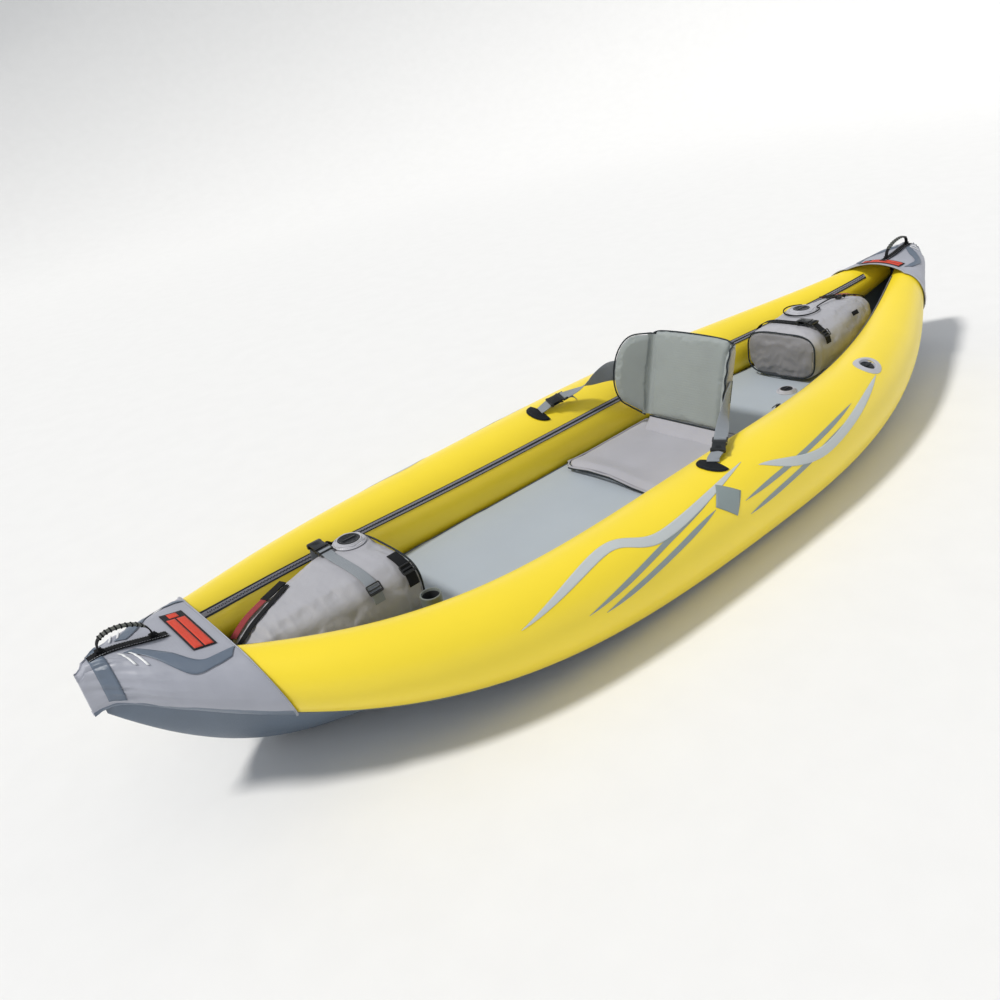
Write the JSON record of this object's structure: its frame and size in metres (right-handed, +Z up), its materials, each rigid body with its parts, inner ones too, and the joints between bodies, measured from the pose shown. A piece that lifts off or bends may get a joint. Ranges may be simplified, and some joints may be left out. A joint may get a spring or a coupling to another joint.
{
  "type": "inflatable kayak",
  "caption": "Solo inflatable kayak: two air tubes, covered bow and stern, inflatable floor, folding backrest on buckled straps, strapped gear bags and carry handles.",
  "frame": {"origin": "under the middle of the hull, on the ground that the flat bottom rests on", "axes": "+X towards the bow, +Y to port, +Z up"},
  "size_m": [2.95, 0.89, 0.3987],
  "materials": {
    "hull_yellow": "coated fabric, soft gloss",
    "bladder_clear": "satin film",
    "cap_grey": "coated fabric, satin",
    "bottom_grey": "coated fabric, satin",
    "floor_grey": "coated fabric, satin",
    "seat_grey": "padded woven fabric",
    "back_grey": "padded woven fabric",
    "bag_grey": "coated bag fabric",
    "webbing_black": "woven webbing",
    "webbing_grey": "woven webbing",
    "webbing_red": "woven webbing",
    "buckle_black": "moulded, satin",
    "valve_grey": "moulded, satin",
    "valve_black": "moulded, satin",
    "zipper_grey": "woven tape with coil teeth",
    "rib_metal": "drawn tube",
    "pipe_grey": "moulded, satin"
  },
  "bodies": {
    "hull": {"port_air_bladder": "bladder_clear", "starboard_air_bladder": "bladder_clear", "port_tube_cover": "hull_yellow", "starboard_tube_cover": "hull_yellow", "port_zipper_tape": "zipper_grey", "starboard_zipper_tape": "zipper_grey", "bow_cover": "cap_grey", "stern_cover": "cap_grey", "bottom_skin": "bottom_grey", "floor_panel": "floor_grey", "bow_keel_rib": "rib_metal", "stern_keel_rib": "rib_metal", "tracking_fin": "buckle_black", "bow_handle_strip": "webbing_black", "stern_handle_strip": "webbing_black", "seat_pad": "seat_grey", "port_seat_patch": "webbing_black", "starboard_seat_patch": "webbing_black", "port_seat_buckle_socket": "buckle_black", "starboard_seat_buckle_socket": "buckle_black", "port_seat_strap": "webbing_grey", "starboard_seat_strap": "webbing_grey", "port_valve_body": "valve_grey", "starboard_valve_body": "valve_grey", "floor_valve_body": "valve_grey", "bow_gear_bag": "bag_grey", "stern_gear_bag": "bag_grey", "bow_bag_valve_body": "valve_grey", "stern_bag_valve_body": "valve_grey", "bow_bag_buckle_socket": "buckle_black", "stern_bag_buckle_socket": "buckle_black", "bow_bag_strap_port": "webbing_grey", "bow_bag_strap_starboard": "webbing_grey", "bow_bag_rear_strap": "webbing_black", "stern_bag_strap_port": "webbing_black", "stern_bag_strap_starboard": "webbing_black", "bow_bag_tether": "webbing_red", "stern_bag_tether": "webbing_red", "stern_bag_bungee": "webbing_black", "rod_holder_tube": "pipe_grey"},
    "backrest": {"backrest_panel": "back_grey"},
    "port_wing": {"port_backrest_wing": "back_grey"},
    "starboard_wing": {"starboard_backrest_wing": "back_grey"},
    "bow_handle": {"bow_handle_loop": "webbing_black"},
    "stern_handle": {"stern_handle_loop": "webbing_black"},
    "port_valve_cap": {"port_valve_cap": "valve_black"},
    "starboard_valve_cap": {"starboard_valve_cap": "valve_black"},
    "port_valve_plunger": {"port_valve_plunger": "valve_grey"},
    "starboard_valve_plunger": {"starboard_valve_plunger": "valve_grey"},
    "floor_valve_cap": {"floor_valve_cap": "valve_black"},
    "bow_bag_valve_cap": {"bow_bag_valve_cap": "valve_black"},
    "stern_bag_valve_cap": {"stern_bag_valve_cap": "valve_black"},
    "port_seat_buckle_plug": {"port_seat_buckle_plug": "buckle_black"},
    "starboard_seat_buckle_plug": {"starboard_seat_buckle_plug": "buckle_black"},
    "bow_bag_buckle_plug": {"bow_bag_buckle_plug": "buckle_black"},
    "stern_bag_buckle_plug": {"stern_bag_buckle_plug": "buckle_black"},
    "port_zipper_slider": {"port_zipper_slider": "buckle_black"},
    "starboard_zipper_slider": {"starboard_zipper_slider": "buckle_black"},
    "stern_cord_lock": {"stern_cord_lock": "buckle_black"},
    "drain_plug": {"drain_plug": "buckle_black"}
  },
  "joints": [
    {"name": "backrest_fold", "type": "hinge", "parent": "hull", "child": "backrest", "pos_m": [-0.16, 0, 0.15], "axis": [0, 1, 0], "range_deg": [0, 20], "deforming": ["port_seat_strap", "starboard_seat_strap"]},
    {"name": "port_wing_fold", "type": "hinge", "parent": "backrest", "child": "port_wing", "pos_m": [-0.16388, 0.131, 0.14903], "axis": [0.2419, 0, -0.9703], "range_deg": [-40, 6], "deforming": ["port_seat_strap"]},
    {"name": "starboard_wing_fold", "type": "hinge", "parent": "backrest", "child": "starboard_wing", "pos_m": [-0.16388, -0.131, 0.14903], "axis": [-0.2419, 0, 0.9703], "range_deg": [-30, 22], "deforming": ["starboard_seat_strap"]},
    {"name": "bow_handle_swing", "type": "hinge", "parent": "hull", "child": "bow_handle", "pos_m": [1.38, 0, 0.36011], "axis": [0.9732, 0, 0.2301], "range_deg": [-60, 60]},
    {"name": "stern_handle_swing", "type": "hinge", "parent": "hull", "child": "stern_handle", "pos_m": [-1.34, 0, 0.32946], "axis": [0.9955, 0, -0.095], "range_deg": [-60, 60]},
    {"name": "port_valve_cap_lift", "type": "slide", "parent": "hull", "child": "port_valve_cap", "axis": [-0.005, 0.3406, 0.9402], "range_m": [0, 0.03]},
    {"name": "starboard_valve_cap_lift", "type": "slide", "parent": "hull", "child": "starboard_valve_cap", "axis": [-0.005, -0.3406, 0.9402], "range_m": [0, 0.03]},
    {"name": "port_valve_plunger_press", "type": "slide", "parent": "hull", "child": "port_valve_plunger", "axis": [0.005, -0.3406, -0.9402], "range_m": [0, 0.004], "stiffness_N_per_m": 150},
    {"name": "starboard_valve_plunger_press", "type": "slide", "parent": "hull", "child": "starboard_valve_plunger", "axis": [0.005, 0.3406, -0.9402], "range_m": [0, 0.004], "stiffness_N_per_m": 150},
    {"name": "floor_valve_twist", "type": "hinge", "parent": "hull", "child": "floor_valve_cap", "pos_m": [-0.57, 0.06, 0.1054], "axis": [0, 0, 1], "range_deg": [0, 90]},
    {"name": "bow_bag_valve_twist", "type": "hinge", "parent": "hull", "child": "bow_bag_valve_cap", "pos_m": [0.87194, -0.105, 0.26489], "axis": [-0.0348, 0, 0.9994], "range_deg": [0, 90]},
    {"name": "stern_bag_valve_twist", "type": "hinge", "parent": "hull", "child": "stern_bag_valve_cap", "pos_m": [-0.79997, -0.03, 0.2766], "axis": [0.0174, 0, 0.9998], "range_deg": [0, 90]},
    {"name": "port_seat_buckle_release", "type": "slide", "parent": "hull", "child": "port_seat_buckle_plug", "axis": [-0.8595, -0.4924, 0.1372], "range_m": [0, 0.02], "deforming": ["port_seat_strap"]},
    {"name": "starboard_seat_buckle_release", "type": "slide", "parent": "hull", "child": "starboard_seat_buckle_plug", "axis": [-0.9472, 0.2792, 0.1579], "range_m": [0, 0.02], "deforming": ["starboard_seat_strap"]},
    {"name": "bow_bag_buckle_release", "type": "slide", "parent": "hull", "child": "bow_bag_buckle_plug", "axis": [0, 1, 0], "range_m": [0, 0.02], "deforming": ["bow_bag_strap_port"]},
    {"name": "stern_bag_buckle_release", "type": "slide", "parent": "hull", "child": "stern_bag_buckle_plug", "axis": [0, 1, 0], "range_m": [0, 0.02], "deforming": ["stern_bag_strap_port"]},
    {"name": "port_zipper_slide", "type": "slide", "parent": "hull", "child": "port_zipper_slider", "axis": [0.9976, 0.0672, -0.0159], "range_m": [-0.06, 0.06]},
    {"name": "starboard_zipper_slide", "type": "slide", "parent": "hull", "child": "starboard_zipper_slider", "axis": [0.9976, -0.0672, -0.0159], "range_m": [-0.06, 0.06]},
    {"name": "cord_lock_slide", "type": "slide", "parent": "hull", "child": "stern_cord_lock", "axis": [-0.9625, 0.245, -0.1166], "range_m": [-0.02, 0.012]},
    {"name": "drain_plug_pull", "type": "slide", "parent": "hull", "child": "drain_plug", "axis": [0, 0, 1], "range_m": [0, 0.03]}
  ]
}
